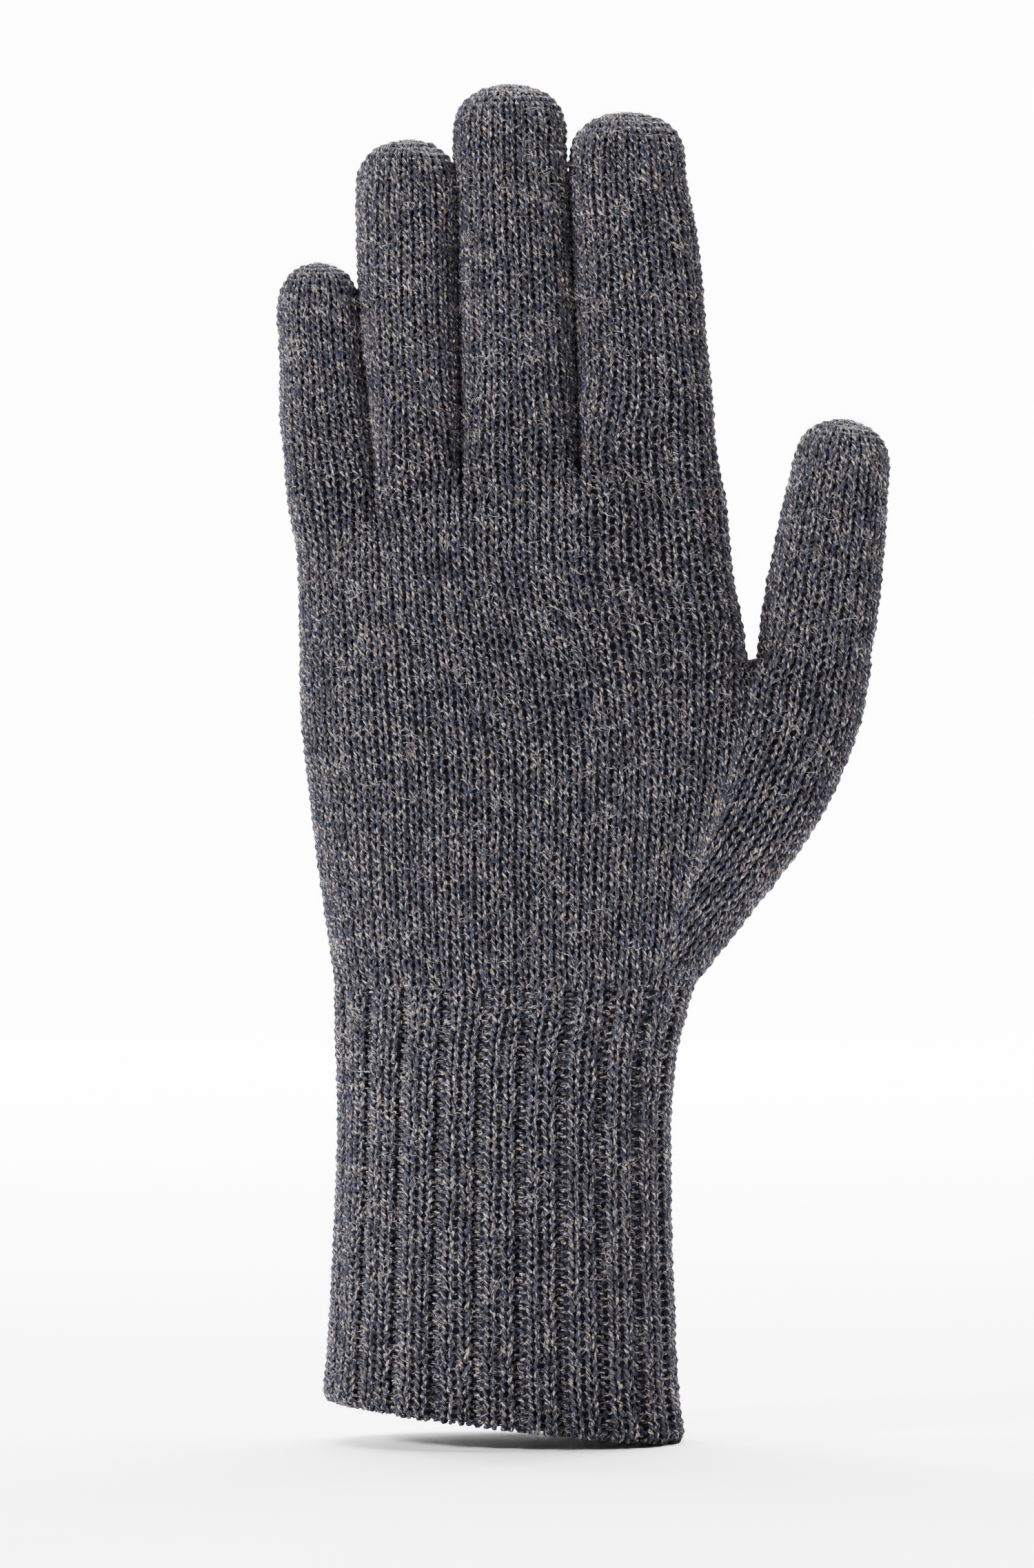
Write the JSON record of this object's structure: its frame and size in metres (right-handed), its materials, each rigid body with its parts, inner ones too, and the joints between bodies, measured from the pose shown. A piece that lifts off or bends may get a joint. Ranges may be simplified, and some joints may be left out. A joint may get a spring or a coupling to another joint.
{
  "type": "knitted glove",
  "caption": "Knitted wool glove for the left hand, with a long ribbed cuff, a thumb gusset and closed fingers; hollow, in its worn shape, bending at the wrist and at each finger joint.",
  "frame": {"origin": "middle of the wrist opening, on the slanted line of the hem", "axes": "+Z towards the fingertips, +X towards the thumb, +Y out of the palm, so that the back of the hand faces -Y"},
  "size_m": [0.1321, 0.0544, 0.2917],
  "materials": {
    "plain_knit": "plain knit in charcoal marl wool with brown, blue and pale flecks and fine stray fibres",
    "rib_knit": "rib knit in the same charcoal marl wool"
  },
  "bodies": {
    "cuff": {"cuff_hem": "rib_knit", "cuff_rib": "rib_knit"},
    "hand": {"wrist_bend": "rib_knit", "hand_lower": "plain_knit", "hand_upper": "plain_knit", "thumb_gusset": "plain_knit", "crotch_little_ring": "plain_knit", "crotch_ring_middle": "plain_knit", "crotch_middle_index": "plain_knit", "crotch_thumb": "plain_knit", "little_root": "plain_knit", "ring_root": "plain_knit", "middle_root": "plain_knit", "index_root": "plain_knit", "thumb_root": "plain_knit"},
    "little_base": {"little_root_bend": "plain_knit", "little_base": "plain_knit"},
    "little_middle": {"little_middle_bend": "plain_knit", "little_middle": "plain_knit"},
    "little_tip": {"little_tip_bend": "plain_knit", "little_tip": "plain_knit"},
    "ring_base": {"ring_root_bend": "plain_knit", "ring_base": "plain_knit"},
    "ring_middle": {"ring_middle_bend": "plain_knit", "ring_middle": "plain_knit"},
    "ring_tip": {"ring_tip_bend": "plain_knit", "ring_tip": "plain_knit"},
    "middle_base": {"middle_root_bend": "plain_knit", "middle_base": "plain_knit"},
    "middle_middle": {"middle_middle_bend": "plain_knit", "middle_middle": "plain_knit"},
    "middle_tip": {"middle_tip_bend": "plain_knit", "middle_tip": "plain_knit"},
    "index_base": {"index_root_bend": "plain_knit", "index_base": "plain_knit"},
    "index_middle": {"index_middle_bend": "plain_knit", "index_middle": "plain_knit"},
    "index_tip": {"index_tip_bend": "plain_knit", "index_tip": "plain_knit"},
    "thumb_base": {"thumb_root_bend": "plain_knit", "thumb_base": "plain_knit"},
    "thumb_tip": {"thumb_tip_bend": "plain_knit", "thumb_tip": "plain_knit"}
  },
  "joints": [
    {"name": "wrist", "type": "hinge", "parent": "cuff", "child": "hand", "pos_m": [0.002, 0, 0.094], "axis": [-1, 0, 0], "range_deg": [-35, 35], "stiffness_Nm_per_rad": 0.4, "deforming": ["wrist_bend"]},
    {"name": "little_root_joint", "type": "hinge", "parent": "hand", "child": "little_base", "pos_m": [-0.03746, 0.0006, 0.202], "axis": [-0.9967, 0, -0.0813], "range_deg": [-10, 60], "stiffness_Nm_per_rad": 0.03, "deforming": ["little_root_bend"]},
    {"name": "little_middle_joint", "type": "hinge", "parent": "little_base", "child": "little_middle", "pos_m": [-0.03891, 0.00068, 0.218], "axis": [-0.9967, 0, -0.0813], "range_deg": [0, 75], "stiffness_Nm_per_rad": 0.02, "deforming": ["little_middle_bend"]},
    {"name": "little_tip_joint", "type": "hinge", "parent": "little_middle", "child": "little_tip", "pos_m": [-0.03995, 0.00097, 0.2325], "axis": [-0.9967, 0, -0.0813], "range_deg": [0, 45], "stiffness_Nm_per_rad": 0.01, "deforming": ["little_tip_bend"]},
    {"name": "ring_root_joint", "type": "hinge", "parent": "hand", "child": "ring_base", "pos_m": [-0.01967, 0.00062, 0.2115], "axis": [-0.9994, 0, -0.0336], "range_deg": [-10, 60], "stiffness_Nm_per_rad": 0.03, "deforming": ["ring_root_bend"]},
    {"name": "ring_middle_joint", "type": "hinge", "parent": "ring_base", "child": "ring_middle", "pos_m": [-0.02063, 0.00094, 0.2315], "axis": [-0.9994, 0, -0.0336], "range_deg": [0, 75], "stiffness_Nm_per_rad": 0.02, "deforming": ["ring_middle_bend"]},
    {"name": "ring_tip_joint", "type": "hinge", "parent": "ring_middle", "child": "ring_tip", "pos_m": [-0.02107, 0.00177, 0.253], "axis": [-0.9994, 0, -0.0336], "range_deg": [0, 45], "stiffness_Nm_per_rad": 0.01, "deforming": ["ring_tip_bend"]},
    {"name": "middle_root_joint", "type": "hinge", "parent": "hand", "child": "middle_base", "pos_m": [0.00275, 0.00063, 0.2135], "axis": [-0.9995, 0, -0.0315], "range_deg": [-10, 60], "stiffness_Nm_per_rad": 0.03, "deforming": ["middle_root_bend"]},
    {"name": "middle_middle_joint", "type": "hinge", "parent": "middle_base", "child": "middle_middle", "pos_m": [0.00222, 0.00105, 0.235], "axis": [-0.9995, 0, -0.0315], "range_deg": [0, 75], "stiffness_Nm_per_rad": 0.02, "deforming": ["middle_middle_bend"]},
    {"name": "middle_tip_joint", "type": "hinge", "parent": "middle_middle", "child": "middle_tip", "pos_m": [0.00122, 0.00227, 0.262], "axis": [-0.9995, 0, -0.0315], "range_deg": [0, 45], "stiffness_Nm_per_rad": 0.01, "deforming": ["middle_tip_bend"]},
    {"name": "index_root_joint", "type": "hinge", "parent": "hand", "child": "index_base", "pos_m": [0.03, 0.00063, 0.2135], "axis": [-0.998, 0, -0.0633], "range_deg": [-10, 60], "stiffness_Nm_per_rad": 0.03, "deforming": ["index_root_bend"]},
    {"name": "index_middle_joint", "type": "hinge", "parent": "index_base", "child": "index_middle", "pos_m": [0.02883, 0.00102, 0.234], "axis": [-0.998, 0, -0.0633], "range_deg": [0, 75], "stiffness_Nm_per_rad": 0.02, "deforming": ["index_middle_bend"]},
    {"name": "index_tip_joint", "type": "hinge", "parent": "index_middle", "child": "index_tip", "pos_m": [0.02728, 0.00196, 0.2565], "axis": [-0.998, 0, -0.0633], "range_deg": [0, 45], "stiffness_Nm_per_rad": 0.01, "deforming": ["index_tip_bend"]},
    {"name": "thumb_root_joint", "type": "hinge", "parent": "hand", "child": "thumb_base", "pos_m": [0.06764, 0.005, 0.17289], "axis": [-0.9895, 0, 0.1444], "range_deg": [-10, 40], "stiffness_Nm_per_rad": 0.03, "deforming": ["thumb_root_bend"]},
    {"name": "thumb_tip_joint", "type": "hinge", "parent": "thumb_base", "child": "thumb_tip", "pos_m": [0.07003, 0.005, 0.18922], "axis": [-0.9895, 0, 0.1444], "range_deg": [0, 60], "stiffness_Nm_per_rad": 0.02, "deforming": ["thumb_tip_bend"]}
  ],
  "couplings": [
    {"joint": "little_tip_joint", "follows": "little_middle_joint", "ratio": 0.6},
    {"joint": "ring_tip_joint", "follows": "ring_middle_joint", "ratio": 0.6},
    {"joint": "middle_tip_joint", "follows": "middle_middle_joint", "ratio": 0.6},
    {"joint": "index_tip_joint", "follows": "index_middle_joint", "ratio": 0.6}
  ]
}
